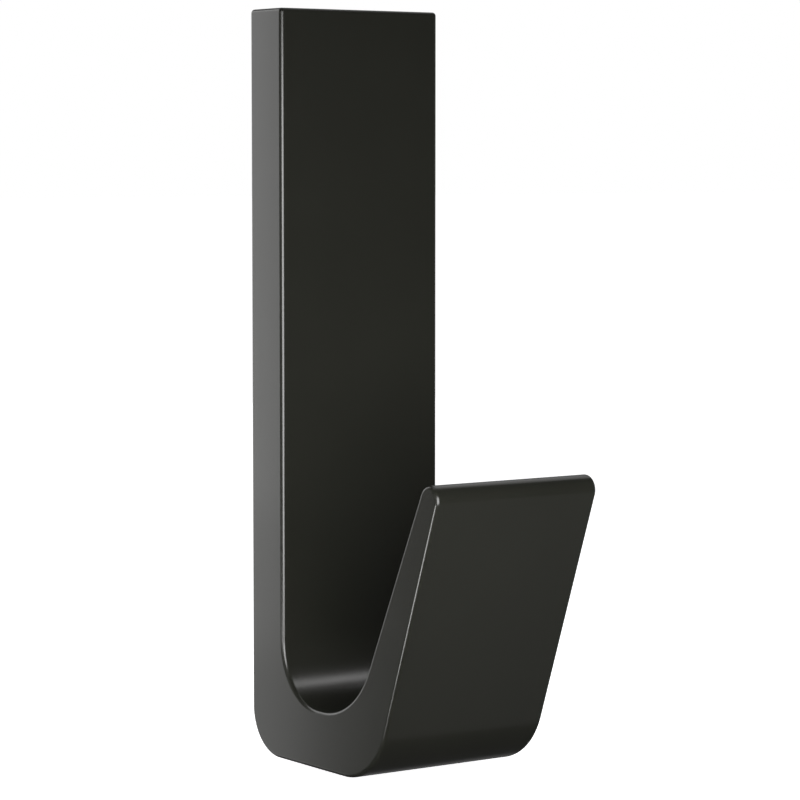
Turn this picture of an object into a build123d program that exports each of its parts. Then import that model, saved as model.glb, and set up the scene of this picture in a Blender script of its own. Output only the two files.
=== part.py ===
"""Adhesive hook: a J-shaped hook body of constant section, with an adhesive pad on its back.

The frame's origin is the middle of the pad's wall side. +X runs along the hook's width, +Y points into
the wall and +Z points up, so the hook stands out of the wall towards -Y. All sizes are millimetres and
degrees.

The section is drawn in its own plane: its first coordinate is the reach, measured from the plate's back
towards the front, and its second is the height above the underside.
"""

import os
from math import cos, radians, sin, tan

from build123d import *

# Hook body, overall
hook_width = 20.0
plate_height = 79.1
plate_thickness = 6.0
floor_thickness = 6.2
edge_rounding = 0.4

# Outer curves: the heel joins the plate's back to the underside, the toe joins the underside to the arm
heel_radius = 5.0
toe_radius = 8.1

# Arm: each lean is the angle from the vertical of one of its two flats
arm_height = 31.4
arm_inner_lean = 25.9
arm_outer_lean = 20.2
arm_tip_radius = 1.5

# Throat: its width is measured level with the floor, from the plate to the arm's inner flat produced
throat_width = 13.25
throat_back_radius = 6.4
throat_flat = 0.75

# Adhesive pad: double-sided foam tape, set in by its margin from the edges of the plate's flat back
pad_thickness = 0.8
pad_margin = 1.0
pad_corner_radius = 2.0


def on_circle(centre, radius, degrees):
    """The point of a circle at an angle from the reach axis, turning towards the height axis."""
    angle = radians(degrees)
    return (centre[0] + radius * cos(angle), centre[1] + radius * sin(angle))


def arc(centre, radius, start, end):
    """An arc of a circle between two angles in degrees, through its own middle."""
    angles = (start, (start + end) / 2, end)
    return ThreePointArc(*[on_circle(centre, radius, angle) for angle in angles])


def section_outline():
    """The J's outline, as flats and tangent arcs, from the plate's top down its back and round."""
    heel_centre = (heel_radius, heel_radius)
    back_centre = (plate_thickness + throat_back_radius, floor_thickness + throat_back_radius)

    # The front curve of the throat leaves the floor where its flat ends and runs into the arm's inner flat
    arm_root = plate_thickness + throat_width
    flat_end = back_centre[0] + throat_flat
    throat_front_radius = (arm_root - flat_end) * tan(radians(90 + arm_inner_lean) / 2)
    front_centre = (flat_end, floor_thickness + throat_front_radius)

    # The tip's circle touches both flats of the arm
    tip_rise = arm_height - arm_tip_radius
    inner_offset = arm_tip_radius / cos(radians(arm_inner_lean))
    tip_reach = arm_root + (tip_rise - floor_thickness) * tan(radians(arm_inner_lean)) + inner_offset
    tip_centre = (tip_reach, tip_rise)

    # The toe's circle touches the underside and the arm's outer flat
    outer_offset = (arm_tip_radius - toe_radius) / cos(radians(arm_outer_lean))
    toe_reach = tip_reach - (tip_rise - toe_radius) * tan(radians(arm_outer_lean)) + outer_offset
    toe_centre = (toe_reach, toe_radius)

    curves = [
        arc(heel_centre, heel_radius, 180, 270),
        arc(toe_centre, toe_radius, 270, 360 - arm_outer_lean),
        arc(tip_centre, arm_tip_radius, -arm_outer_lean, 180 - arm_inner_lean),
        arc(front_centre, throat_front_radius, -arm_inner_lean, -90),
        arc(back_centre, throat_back_radius, 270, 180),
    ]
    plate_top = Line((plate_thickness, plate_height), (0, plate_height))
    stretches = [plate_top] + curves
    flats = [Line(one @ 1, after @ 0) for one, after in zip(stretches, stretches[1:] + stretches[:1])]
    return stretches + flats


def section_plane():
    """The section's plane on the hook's +X side: reach runs towards -Y and height towards +Z."""
    origin = (hook_width / 2, -pad_thickness, underside())
    return Plane(origin=origin, x_dir=(0, -1, 0), z_dir=(-1, 0, 0))


def underside():
    """Height of the hook's underside in the part's frame, whose origin is the middle of the pad."""
    return -(pad_foot() + pad_head()) / 2


def pad_foot():
    """Height of the pad's lower edge above the underside: the plate's back is flat above the heel."""
    return heel_radius + pad_margin


def pad_head():
    """Height of the pad's upper edge above the underside."""
    return plate_height - pad_margin


def make_hook_body():
    """The section run along the width, with all its edges rounded."""
    section = section_plane() * make_face(section_outline())
    body = extrude(section, hook_width)
    side_edges = body.faces().filter_by(Axis.X).edges()
    top_edges = body.edges().filter_by(Axis.X).group_by(Axis.Z)[-1]
    return fillet(side_edges + top_edges, edge_rounding)


def make_adhesive_pad():
    """A flat pad with rounded corners, whose wall side lies at Y = 0 and whose front meets the plate."""
    pad_width = hook_width - 2 * pad_margin
    pad_height = pad_head() - pad_foot()
    wall_side = Plane.XZ * RectangleRounded(pad_width, pad_height, pad_corner_radius)
    return extrude(wall_side, pad_thickness)


nodes = {
    "hook_body": make_hook_body(),
    "adhesive_pad": make_adhesive_pad(),
}

os.makedirs("parts", exist_ok=True)
for name, solid in nodes.items():
    export_step(solid, f"parts/{name}.step")
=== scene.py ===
"""Dresses the adhesive hook: its satin black body, the foam tape on its back, and the studio round it."""

from math import cos, radians, sin

import bpy
import numpy as np
from bpy.props import FloatProperty, FloatVectorProperty, PointerProperty
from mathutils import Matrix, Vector


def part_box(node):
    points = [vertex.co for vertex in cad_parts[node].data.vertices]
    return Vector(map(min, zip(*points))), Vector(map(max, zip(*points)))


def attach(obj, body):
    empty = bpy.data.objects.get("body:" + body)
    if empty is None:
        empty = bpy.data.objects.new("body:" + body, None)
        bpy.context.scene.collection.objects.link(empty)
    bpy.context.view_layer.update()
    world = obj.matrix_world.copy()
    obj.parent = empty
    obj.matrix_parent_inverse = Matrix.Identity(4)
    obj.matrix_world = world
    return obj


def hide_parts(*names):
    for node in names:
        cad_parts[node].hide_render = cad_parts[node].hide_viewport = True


bl_info = {
    "name": "Adhesive Hook",
    "version": (1, 0, 0),
    "blender": (4, 5, 0),
    "location": "View3D > Sidebar > Hook",
    "description": "Builds a satin black adhesive hook, its foam tape and a plain studio",
    "category": "Add Mesh",
}

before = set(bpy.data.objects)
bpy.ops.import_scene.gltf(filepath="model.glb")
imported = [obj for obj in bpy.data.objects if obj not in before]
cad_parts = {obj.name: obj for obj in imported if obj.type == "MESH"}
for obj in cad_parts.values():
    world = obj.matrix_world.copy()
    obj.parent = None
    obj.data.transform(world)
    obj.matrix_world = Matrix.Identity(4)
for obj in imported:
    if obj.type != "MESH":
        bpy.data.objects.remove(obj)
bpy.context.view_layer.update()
HOOK_LOW, HOOK_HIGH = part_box("hook_body")
PAD_LOW, PAD_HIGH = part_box("adhesive_pad")
BODY = "root"
MM = 0.001

# The roundings at the plate's top are this much wider than the edge rounding that is carried round them, so
# that the drawn-in outline never shrinks to a point
CORNER_SPARE = 1.02

# How finely the pieces are divided. On the hook: steps round a curve of the section, round the arm's tip,
# round a corner at the plate's top and across an edge rounding, and rows between the two edge roundings. On
# the tape: steps round a corner, across the edge of its film and across the edge of its foam. Last, how far
# apart the points along straight stretches are
CURVE_STEPS = 36
TIP_STEPS = 40
TOP_STEPS = 10
EDGE_STEPS = 10
MIDDLE_ROWS = 9
TAPE_CORNER_STEPS = 14
FILM_STEPS = 4
FOAM_STEPS = 8
SECTION_SPACING = 2.5 * MM
TAPE_SPACING = 0.6 * MM

# The tape's small sizes: the rounding of a film's edges, how far the foam is set in, how deep the knife's
# ripples are, and how many of the slow and the quick ones go round the tape
FILM_ROUNDING = 0.02 * MM
FOAM_MARGIN = 0.02 * MM
RIPPLE_DEPTH = 0.04 * MM
SLOW_RIPPLES = 17
QUICK_RIPPLES = 47

# The coating: how large its faint clouds and its grain are, how deep the grain is, the darkest and lightest
# shade of its colour, and how far its gloss varies
COATING_CLOUD = 9 * MM
COATING_GRAIN = 0.3 * MM
COATING_GRAIN_DEPTH = 0.002 * MM
COATING_SHADES = (0.92, 1.08)
COATING_GLOSS_RANGE = 0.04

# The foam: how large its cells are and how deep, how large its blotches are, and their shades
FOAM_CELL = 0.16 * MM
FOAM_CELL_DEPTH = 0.05 * MM
FOAM_BLOTCH = 1.5 * MM
FOAM_SHADES = (0.86, 1)

# The adhesive: how wide its streaks are and how they are drawn out along the tape, how large the lumps of its
# skin are, how deep both are, and its shades
STREAK_WIDTH = 1.1 * MM
STREAK_WAYS = (1, 1, 0.06)
SKIN_LUMP = 0.8 * MM
SKIN_DEPTH = 0.02 * MM
ADHESIVE_SHADES = (0.93, 1.04)

# The sockets of a Mix node that hold its two colours and give the mixed one
MIX_LOW = 6
MIX_HIGH = 7
MIX_RESULT = 2

# The floor: half its side, and its gap under the hook, so that the two don't share a plane
FLOOR_HALF = 4000 * MM
FLOOR_GAP = 1 * MM

# The soft lights: name, place, point that it faces, width, height, brightness and spread, in millimetres and
# degrees. The boxes behind the left side light the hook's end face, the key box makes the bright line on the
# plate's front edge, the low ones light the arm and the toe, the small ones close to the hook make single
# highlights, the back wall and the tip box show in the roundings, and the fills keep the other sides from
# going black
LIGHTS = (
    ("side_box", (-42, 74, 35.5), (9, 0, 35.5), 40, 121, 2.18, 180),
    ("side_mid", (-42, 74, -34.5), (9, 0, -34.5), 40, 19, 1.75, 180),
    ("side_low", (-42, 74, -65), (9, 0, -65), 40, 42, 1.28, 180),
    ("side_wall", (-72, 53, 15), (-22, -21, 15), 28, 150, 0.1, 180),
    ("key_box", (-51, -113, -5), (-5, -10, -5), 122, 88, 3.3, 100),
    ("low_left", (-95, -25, -55), (-10, -33, -18), 40, 30, 11.0, 180),
    ("right_low", (255, -237, -225), (0, -15, 0), 420, 220, 0.14, 180),
    ("back_wall", (112, 405, 116), (0, -15, 0), 520, 420, 0.3, 180),
    ("throat_strip", (1.1, -10.3, -27.5), (1.1, -8.5, -33.8), 15, 0.9, 2.4, 110),
    ("toe_low", (150, 142, -157), (0, -20, -40), 90, 50, 0.14, 180),
    ("left_fill", (-300, 10, 20), (0, -10, 0), 200, 220, 0.35, 180),
    ("right_fill", (300, 14, 10), (0, -10, 0), 200, 220, 0.9, 180),
    ("top_fill", (0, 60, 300), (0, -10, 0), 160, 160, 0.9, 180),
    ("top_edge", (40, -10, 94), (0, -6, 37), 50, 26, 0.05, 50),
    ("tip_box", (189, 84, 190), (0, -34, -11), 160, 120, 0.8, 180),
)

# The even light from all round, against the pure white that the camera sees behind the hook
AMBIENT = 0.045


class HookSizes(bpy.types.PropertyGroup):
    """Sizes of the hook body's section that its box doesn't give."""

    plate_thickness: FloatProperty(
        name="Plate Thickness", description="Thickness of the tall plate", default=6.0 * MM, unit="LENGTH"
    )
    floor_thickness: FloatProperty(
        name="Floor Thickness", description="Thickness under the throat", default=6.2 * MM, unit="LENGTH"
    )
    edge_rounding: FloatProperty(
        name="Edge Rounding", description="Radius of the rounded edges", default=0.4 * MM, unit="LENGTH"
    )
    heel_radius: FloatProperty(
        name="Heel Radius", description="Curve from back to underside", default=5.0 * MM, unit="LENGTH"
    )
    toe_radius: FloatProperty(
        name="Toe Radius", description="Curve from the underside to the arm", default=8.1 * MM, unit="LENGTH"
    )
    arm_height: FloatProperty(
        name="Arm Height", description="From the underside to the arm's tip", default=31.4 * MM, unit="LENGTH"
    )
    arm_inner_lean: FloatProperty(
        name="Inner Lean", description="Lean of the arm's inner flat", default=radians(25.9), subtype="ANGLE"
    )
    arm_outer_lean: FloatProperty(
        name="Outer Lean", description="Lean of the arm's outer flat", default=radians(20.2), subtype="ANGLE"
    )
    arm_tip_radius: FloatProperty(
        name="Tip Radius", description="Radius of the arm's rounded tip", default=1.5 * MM, unit="LENGTH"
    )
    throat_width: FloatProperty(
        name="Throat Width", description="From the plate to the arm's root", default=13.25 * MM, unit="LENGTH"
    )
    throat_back_radius: FloatProperty(
        name="Throat Back Radius",
        description="Curve from the plate to the throat's floor",
        default=6.4 * MM,
        unit="LENGTH",
    )
    throat_flat: FloatProperty(
        name="Throat Flat", description="Flat stretch of the throat's floor", default=0.75 * MM, unit="LENGTH"
    )


def turn(start, end, steps):
    """Angles in radians from start to end, given in degrees, in that many steps."""
    return np.radians(np.linspace(start, end, steps + 1))


def arc(centre, radius, angles):
    """Points of a circle and their outward or inward normals, as rows of (reach, height, normal, normal).

    A positive radius gives a curve that bulges out of the material, a negative one a hollow curve, whose
    normals point at its centre.
    """
    ways = np.stack([np.cos(angles), np.sin(angles)], axis=1)
    points = np.asarray(centre) + abs(radius) * ways
    return np.hstack([points, np.sign(radius) * ways])


def fill_flats(stretches, spacing):
    """Joins curves by straight stretches, which get extra points about a spacing apart.

    Each straight stretch is the line from one curve's last point to the next one's first.
    """
    rows = []
    for one, after in zip(stretches, stretches[1:] + stretches[:1]):
        rows.append(one)
        length = np.hypot(*(after[0, :2] - one[-1, :2]))
        steps = int(length / spacing)
        share = np.linspace(0, 1, steps + 2)[1:-1, None]
        rows.append(one[-1] * (1 - share) + after[0] * share)
    return np.vstack(rows)


def hook_outline(sizes):
    """The J-shaped section as rows of (reach, height, normal, normal), going round from the plate's back.

    Reach is measured from the plate's back and height from the underside, as in the solid: circles for the
    heel, the toe, the tip and the throat's two curves, each touching the flats beside it.
    """
    height = HOOK_HIGH.z - HOOK_LOW.z
    corner = sizes.edge_rounding * CORNER_SPARE
    inner, outer = sizes.arm_inner_lean, sizes.arm_outer_lean

    back_centre = np.array([sizes.plate_thickness, sizes.floor_thickness]) + sizes.throat_back_radius
    arm_root = sizes.plate_thickness + sizes.throat_width
    flat_end = back_centre[0] + sizes.throat_flat
    front_radius = (arm_root - flat_end) * np.tan((np.pi / 2 + inner) / 2)
    front_centre = (flat_end, sizes.floor_thickness + front_radius)

    tip_rise = sizes.arm_height - sizes.arm_tip_radius
    tip_reach = arm_root + (tip_rise - sizes.floor_thickness) * np.tan(inner)
    tip_reach += sizes.arm_tip_radius / cos(inner)
    toe_back = (sizes.toe_radius - sizes.arm_tip_radius) / cos(outer)
    toe_reach = tip_reach - (tip_rise - sizes.toe_radius) * np.tan(outer) - toe_back

    inner_degrees, outer_degrees = np.degrees(inner), np.degrees(outer)
    tip_turn = turn(-outer_degrees, 180 - inner_degrees, TIP_STEPS)
    curves = [
        arc((sizes.heel_radius, sizes.heel_radius), sizes.heel_radius, turn(180, 270, CURVE_STEPS)),
        arc((toe_reach, sizes.toe_radius), sizes.toe_radius, turn(270, 360 - outer_degrees, CURVE_STEPS)),
        arc((tip_reach, tip_rise), sizes.arm_tip_radius, tip_turn),
        arc(front_centre, -front_radius, turn(-inner_degrees, -90, CURVE_STEPS)),
        arc(back_centre, -sizes.throat_back_radius, turn(270, 180, CURVE_STEPS)),
        arc((sizes.plate_thickness - corner, height - corner), corner, turn(0, 90, TOP_STEPS)),
        arc((corner, height - corner), corner, turn(90, 180, TOP_STEPS)),
    ]
    return fill_flats(curves, SECTION_SPACING)


def added(name, data):
    """A new object in the scene, from its mesh, its light or its camera."""
    made = bpy.data.objects.new(name, data)
    bpy.context.scene.collection.objects.link(made)
    return made


def surface_mesh(name, points, normals, faces):
    """A mesh from arrays of points and faces, shaded by the normals that the formulas give."""
    mesh = bpy.data.meshes.new(name)
    mesh.from_pydata(points.tolist(), [], faces)
    mesh.validate()
    mesh.shade_smooth()
    mesh.normals_split_custom_set_from_vertices(normals.tolist())
    return added(name, mesh)


def band_faces(rows, columns):
    """Quads between neighbouring rows of a grid whose columns go round and close."""
    index = np.arange(rows * columns).reshape(rows, columns)
    after = np.roll(index, -1, axis=1)
    quads = np.stack([index[:-1], index[1:], after[1:], after[:-1]], axis=-1)
    return quads.reshape(-1, 4).tolist()


def rounded_rim(half_depth, rounding, steps, middle):
    """The rim of a flat-sided solid whose two edges are rounded, as rows of (depth, drawn in, tilt).

    Along the rounding's quarter circle at the tilt a, the depth is half_depth - rounding + rounding * sin a
    and the outline is drawn in by rounding * (1 - cos a). Middle rows lie between the two roundings.
    """
    tilt = turn(90, 0, steps)
    depth = half_depth - rounding + rounding * np.sin(tilt)
    rounded = np.stack([depth, rounding * (1 - np.cos(tilt)), tilt], axis=1)
    share = np.linspace(-1, 1, middle + 2)[1:-1, None]
    straight = share * np.array([half_depth - rounding, 0, 0])
    return np.vstack([rounded * (-1, 1, -1), straight, rounded[::-1]])


def hollow_rim(half_depth, margin, hollow, steps):
    """The rim of a soft cut edge, drawn in by margin + hollow * (1 - (depth / half_depth) ** 2)."""
    depth = np.linspace(-half_depth, half_depth, steps + 1)
    drawn_in = margin + hollow * (1 - (depth / half_depth) ** 2)
    tilt = np.arctan(-2 * hollow * depth / half_depth**2)
    return np.stack([depth, drawn_in, tilt], axis=1)


def carried(name, outline, rim, origin, axes):
    """A closed solid: a rim carried round an outline, with one flat face on each side.

    A point is the outline's point less drawn_in times its normal, at the rim's depth. Its own normal is
    cos(tilt) times the outline's normal, plus sin(tilt) along the depth. The three axes are the ways in the
    part's frame of the depth and of the outline's two coordinates.
    """
    depth, drawn_in, tilt = (column[:, None] for column in rim.T)
    spread = np.ones(len(outline))
    flat = outline[None, :, :2] - drawn_in[..., None] * outline[None, :, 2:]
    flat_normals = outline[None, :, 2:] * np.cos(tilt)[..., None]
    points = np.concatenate([(depth * spread)[..., None], flat], axis=-1).reshape(-1, 3)
    normals = np.concatenate([(np.sin(tilt) * spread)[..., None], flat_normals], axis=-1).reshape(-1, 3)
    axes = np.array(axes)

    rows, columns = len(rim), len(outline)
    last = (rows - 1) * columns
    faces = band_faces(rows, columns)
    faces.append(list(range(columns)))
    faces.append(list(range(last + columns - 1, last - 1, -1)))
    return surface_mesh(name, np.array(origin) + points @ axes, normals @ axes, faces)


def rounded_rectangle(half_width, half_height, corner, spacing):
    """An upright rectangle with quarter-circle corners, as rows of (across, up, normal, normal)."""
    across, up = half_width - corner, half_height - corner
    centres = {0: (across, up), 90: (-across, up), 180: (-across, -up), 270: (across, -up)}
    corners = []
    for start, centre in centres.items():
        corners.append(arc(centre, corner, turn(start, start + 90, TAPE_CORNER_STEPS)))
    return fill_flats(corners, spacing)


def rippled(outline, depth):
    """The outline drawn in by depth * (2 + a slow sine wave + a quick one) / 4, as a knife leaves foam.

    Both waves go a whole number of times round the outline, so they close.
    """
    steps = np.hypot(*np.diff(outline[:, :2], axis=0, append=outline[:1, :2]).T)
    phase = 2 * np.pi * np.cumsum(steps) / steps.sum()
    wave = (2 + np.sin(SLOW_RIPPLES * phase) + np.sin(QUICK_RIPPLES * phase + 1)) / 4
    moved = outline.copy()
    moved[:, :2] -= depth * wave[:, None] * outline[:, 2:]
    return moved


class Wire:
    """A number in a material: arithmetic on it adds Math nodes."""

    def __init__(self, shop, socket):
        self.shop = shop
        self.socket = socket

    def math(self, operation, *values):
        return self.shop.add("ShaderNodeMath", {"operation": operation}, dict(enumerate(values)))

    def __add__(self, other):
        return self.math("ADD", self, other)

    def __sub__(self, other):
        return self.math("SUBTRACT", self, other)

    def __rsub__(self, other):
        return self.math("SUBTRACT", other, self)

    def __mul__(self, other):
        return self.math("MULTIPLY", self, other)

    __radd__ = __add__
    __rmul__ = __mul__


class Finish:
    """A tree of shader nodes, and the one method that adds a node."""

    def __init__(self, owner):
        owner.use_nodes = True
        self.tree = owner.node_tree
        self.tree.nodes.clear()

    def add(self, kind, settings=None, inputs=None, output=0):
        """A node of a kind with its settings, then its sockets' values or links; returns one output."""
        node = self.tree.nodes.new(kind)
        for name, value in (settings or {}).items():
            setattr(node, name, value)
        for name, value in (inputs or {}).items():
            if isinstance(value, Wire):
                self.tree.links.new(value.socket, node.inputs[name])
            else:
                node.inputs[name].default_value = value
        return Wire(self, node.outputs[output]) if node.outputs else None

    def place(self):
        """The object's own coordinates, in metres."""
        return self.add("ShaderNodeTexCoord", output="Object")

    def noise(self, size, detail=2.0):
        """Soft noise from 0 to 1 whose blotches are about a size across."""
        inputs = {"Vector": self.place(), "Scale": 1 / size, "Detail": detail}
        return self.add("ShaderNodeTexNoise", inputs=inputs, output="Fac")

    def tint(self, factor, low, high):
        """A colour between two others."""
        inputs = {"Factor": factor, MIX_LOW: (*low, 1), MIX_HIGH: (*high, 1)}
        return self.add("ShaderNodeMix", {"data_type": "RGBA"}, inputs, output=MIX_RESULT)

    def bump(self, height, distance, strength):
        """A normal that follows a height from 0 to 1, at a depth in metres."""
        inputs = {"Height": height, "Distance": distance, "Strength": strength}
        return self.add("ShaderNodeBump", inputs=inputs)

    def stretched(self, ways):
        """The object's own coordinates, each multiplied by a number."""
        return self.add("ShaderNodeVectorMath", {"operation": "MULTIPLY"}, {0: self.place(), 1: ways})

    def surface(self, **inputs):
        """The Principled shader and the output, from sockets named with underscores for spaces."""
        named = {name.replace("_", " "): value for name, value in inputs.items()}
        shader = self.add("ShaderNodeBsdfPrincipled", inputs=named)
        self.add("ShaderNodeOutputMaterial", inputs={"Surface": shader})


def shades(colour, low, high):
    """A colour made darker and lighter by two factors."""
    return tuple(low * part for part in colour), tuple(high * part for part in colour)


def satin_black(colours):
    """Satin black coating: near black with an olive cast, very fine grain and barely uneven gloss."""
    material = bpy.data.materials.new("satin_black_coating")
    finish = Finish(material)
    cloud = finish.noise(COATING_CLOUD)
    grain = finish.noise(COATING_GRAIN, detail=3.0)
    glossiest = colours.coating_roughness - COATING_GLOSS_RANGE / 2
    finish.surface(
        Base_Color=finish.tint(cloud, *shades(colours.coating, *COATING_SHADES)),
        Roughness=glossiest + COATING_GLOSS_RANGE * cloud,
        Normal=finish.bump(grain, COATING_GRAIN_DEPTH, 0.3),
    )
    return material


def tape_foam(colours):
    """Cut foam: pale, matt and full of fine cells."""
    material = bpy.data.materials.new("tape_foam")
    finish = Finish(material)
    inputs = {"Vector": finish.place(), "Scale": 1 / FOAM_CELL}
    cells = finish.add("ShaderNodeTexVoronoi", inputs=inputs, output="Distance")
    finish.surface(
        Base_Color=finish.tint(finish.noise(FOAM_BLOTCH), *shades(colours.foam, *FOAM_SHADES)),
        Roughness=0.9,
        Normal=finish.bump(cells, FOAM_CELL_DEPTH, 0.6),
    )
    return material


def tape_adhesive(colours):
    """Adhesive over foam: soft gloss, an uneven skin and faint streaks along the tape's length."""
    material = bpy.data.materials.new("tape_adhesive")
    finish = Finish(material)
    inputs = {"Vector": finish.stretched(STREAK_WAYS), "Scale": 1 / STREAK_WIDTH, "Detail": 3.0}
    streaks = finish.add("ShaderNodeTexNoise", inputs=inputs, output="Fac")
    skin = finish.noise(SKIN_LUMP, detail=3.0)
    finish.surface(
        Base_Color=finish.tint(streaks, *shades(colours.adhesive, *ADHESIVE_SHADES)),
        Roughness=0.3 + 0.16 * skin,
        Normal=finish.bump(skin + 0.5 * streaks, SKIN_DEPTH, 0.5),
    )
    return material


class FinishColours(bpy.types.PropertyGroup):
    """Colours and gloss of the hook's finishes."""

    coating: FloatVectorProperty(
        name="Coating", description="Satin black coating", default=(0.0115, 0.0118, 0.0092), subtype="COLOR"
    )
    coating_roughness: FloatProperty(
        name="Coating Roughness", description="Roughness of the coating", default=0.22, subtype="FACTOR"
    )
    foam: FloatVectorProperty(
        name="Foam", description="Foam of the adhesive tape", default=(0.62, 0.62, 0.59), subtype="COLOR"
    )
    adhesive: FloatVectorProperty(
        name="Adhesive", description="Films on the tape's sides", default=(0.52, 0.52, 0.47), subtype="COLOR"
    )


def dressed(piece, material, node):
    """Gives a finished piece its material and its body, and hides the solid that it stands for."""
    piece.data.materials.append(material)
    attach(piece, BODY)
    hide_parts(node)


class HOOK_OT_body(bpy.types.Operator):
    """Build the coated hook body"""

    bl_idname = "hook.body"
    bl_label = "Hook Body"

    def execute(self, context):
        sizes = context.scene.hook_sizes
        rim = rounded_rim((HOOK_HIGH.x - HOOK_LOW.x) / 2, sizes.edge_rounding, EDGE_STEPS, MIDDLE_ROWS)
        origin = (0, HOOK_HIGH.y, HOOK_LOW.z)
        axes = ((1, 0, 0), (0, -1, 0), (0, 0, 1))
        piece = carried("coated_hook", hook_outline(sizes), rim, origin, axes)
        dressed(piece, satin_black(context.scene.hook_colours), "hook_body")
        return {"FINISHED"}


class TapeSizes(bpy.types.PropertyGroup):
    """Sizes of the foam tape that its box doesn't give."""

    corner: FloatProperty(
        name="Corner", description="Radius of the tape's corners", default=2.0 * MM, unit="LENGTH"
    )
    film: FloatProperty(
        name="Film", description="Thickness of the adhesive on each side", default=0.08 * MM, unit="LENGTH"
    )
    hollow: FloatProperty(
        name="Hollow", description="How far the foam's cut edge is drawn in", default=0.07 * MM, unit="LENGTH"
    )


class HOOK_OT_tape(bpy.types.Operator):
    """Build the foam tape on the plate's back: a foam core between two films of adhesive"""

    bl_idname = "hook.tape"
    bl_label = "Foam Tape"

    def execute(self, context):
        sizes = context.scene.hook_tape
        colours = context.scene.hook_colours
        middle = (PAD_LOW + PAD_HIGH) / 2
        half = (PAD_HIGH - PAD_LOW) / 2
        outline = rounded_rectangle(half.x, half.z, sizes.corner, TAPE_SPACING)
        axes = ((0, 1, 0), (1, 0, 0), (0, 0, 1))

        core = hollow_rim(half.y - sizes.film, FOAM_MARGIN, sizes.hollow, FOAM_STEPS)
        foam = carried("tape_foam", rippled(outline, RIPPLE_DEPTH), core, middle, axes)
        dressed(foam, tape_foam(colours), "adhesive_pad")

        adhesive = tape_adhesive(colours)
        film = rounded_rim(sizes.film / 2, FILM_ROUNDING, FILM_STEPS, 0)
        for name, side in (("tape_film_wall", 1), ("tape_film_plate", -1)):
            origin = middle + Vector((0, side * (half.y - sizes.film / 2), 0))
            piece = carried(name, outline, film, origin, axes)
            dressed(piece, adhesive, "adhesive_pad")
        return {"FINISHED"}


def direction(azimuth, elevation):
    """The way from the hook at an azimuth from its front, positive towards +X, and a height angle."""
    return Vector((sin(azimuth) * cos(elevation), -cos(azimuth) * cos(elevation), sin(elevation)))


class StudioSettings(bpy.types.PropertyGroup):
    """The camera's place and lens, and the strength of the lights."""

    azimuth: FloatProperty(
        name="Azimuth", description="Turn from the hook's front", default=radians(-34.95), subtype="ANGLE"
    )
    elevation: FloatProperty(
        name="Elevation", description="The camera's height angle", default=radians(4.458), subtype="ANGLE"
    )
    distance: FloatProperty(
        name="Distance", description="From the camera to its aim", default=324.57 * MM, unit="LENGTH"
    )
    aim: FloatVectorProperty(
        name="Aim",
        description="Point that the camera looks at",
        default=(-1.57 * MM, -16.38 * MM, -3.64 * MM),
        subtype="XYZ",
    )
    lens: FloatProperty(name="Lens", description="Focal length in millimetres", default=140.5)
    light: FloatProperty(name="Light", description="Strength of all the lights together", default=1.0)


def upright(back):
    """The turn of a camera or a light that faces away from a direction, with its top up."""
    return back.to_track_quat("Z", "Y").to_euler()


def set_camera(settings):
    """The scene's camera, at a distance from its aim."""
    data = bpy.data.cameras.new("camera")
    data.lens = settings.lens
    data.clip_start = 1 * MM
    camera = added("camera", data)
    back = direction(settings.azimuth, settings.elevation)
    camera.location = Vector(settings.aim) + back * settings.distance
    camera.rotation_euler = upright(back)
    bpy.context.scene.camera = camera


def set_sky():
    """Even light from all round, and pure white where the camera sees it."""
    world = bpy.data.worlds.new("studio")
    bpy.context.scene.world = world
    sky = Finish(world)
    seen = sky.add("ShaderNodeLightPath", output="Is Camera Ray")
    inputs = {"Color": (1, 1, 1, 1), "Strength": AMBIENT + (1 - AMBIENT) * seen}
    glow = sky.add("ShaderNodeBackground", inputs=inputs)
    sky.add("ShaderNodeOutputWorld", inputs={"Surface": glow})


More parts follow.
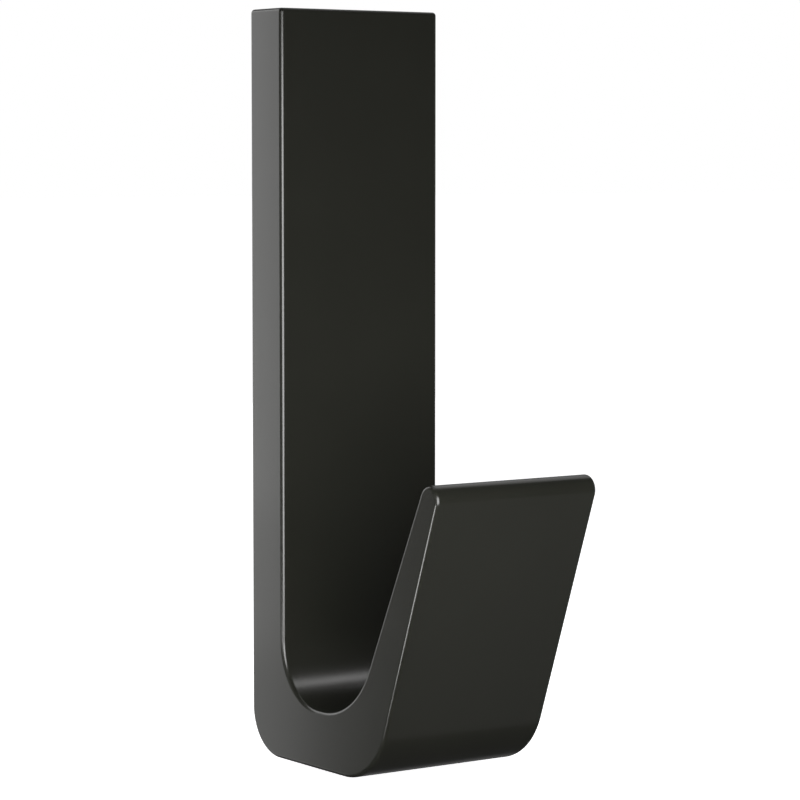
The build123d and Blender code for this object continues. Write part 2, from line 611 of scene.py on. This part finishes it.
def lay_floor():
    """A plain pale floor that glows softly, and that only the camera sees."""
    mesh = bpy.data.meshes.new("floor")
    corners = ((-1, -1), (1, -1), (1, 1), (-1, 1))
    level = HOOK_LOW.z - FLOOR_GAP
    mesh.from_pydata([(x * FLOOR_HALF, y * FLOOR_HALF, level) for x, y in corners], [], [(0, 1, 2, 3)])
    floor = added("floor", mesh)
    paint = bpy.data.materials.new("studio_floor")
    Finish(paint).surface(
        Base_Color=(0.8, 0.8, 0.8, 1), Roughness=0.9, Emission_Color=(1, 1, 1, 1), Emission_Strength=1.0
    )
    mesh.materials.append(paint)
    floor.visible_glossy = False
    floor.visible_diffuse = False
    floor.visible_shadow = False


def hang_lights(strength):
    """The soft lights: each is a rectangle whose energy is its brightness times pi times its area."""
    for name, place, faces, width, height, brightness, spread in LIGHTS:
        data = bpy.data.lights.new(name, "AREA")
        data.shape = "RECTANGLE"
        data.size = width * MM
        data.size_y = height * MM
        data.spread = radians(spread)
        data.energy = strength * brightness * np.pi * data.size * data.size_y
        light = added(name, data)
        light.location = Vector(place) * MM
        light.rotation_euler = upright(Vector(place) - Vector(faces))
        light.visible_camera = False


class HOOK_OT_studio(bpy.types.Operator):
    """Build the floor, the lights and the camera"""

    bl_idname = "hook.studio"
    bl_label = "Studio"

    def execute(self, context):
        settings = context.scene.hook_studio
        set_camera(settings)
        set_sky()
        lay_floor()
        hang_lights(settings.light)
        context.scene.view_settings.view_transform = "Standard"
        return {"FINISHED"}


class HOOK_PT_panel(bpy.types.Panel):
    """Lists the hook's pieces and its studio"""

    bl_label = "Adhesive Hook"
    bl_space_type = "VIEW_3D"
    bl_region_type = "UI"
    bl_category = "Hook"

    def draw(self, context):
        for operator in OPERATORS:
            self.layout.operator(operator.bl_idname)


OPERATORS = (HOOK_OT_body, HOOK_OT_tape, HOOK_OT_studio)
GROUPS = {
    "hook_sizes": HookSizes,
    "hook_tape": TapeSizes,
    "hook_colours": FinishColours,
    "hook_studio": StudioSettings,
}
CLASSES = (*GROUPS.values(), *OPERATORS, HOOK_PT_panel)


def register():
    for made in CLASSES:
        bpy.utils.register_class(made)
    for name, group in GROUPS.items():
        setattr(bpy.types.Scene, name, PointerProperty(type=group))


def unregister():
    for name in GROUPS:
        delattr(bpy.types.Scene, name)
    for made in reversed(CLASSES):
        bpy.utils.unregister_class(made)


def main():
    register()
    bpy.ops.hook.body()
    bpy.ops.hook.tape()
    bpy.ops.hook.studio()


if __name__ == "__main__":
    main()
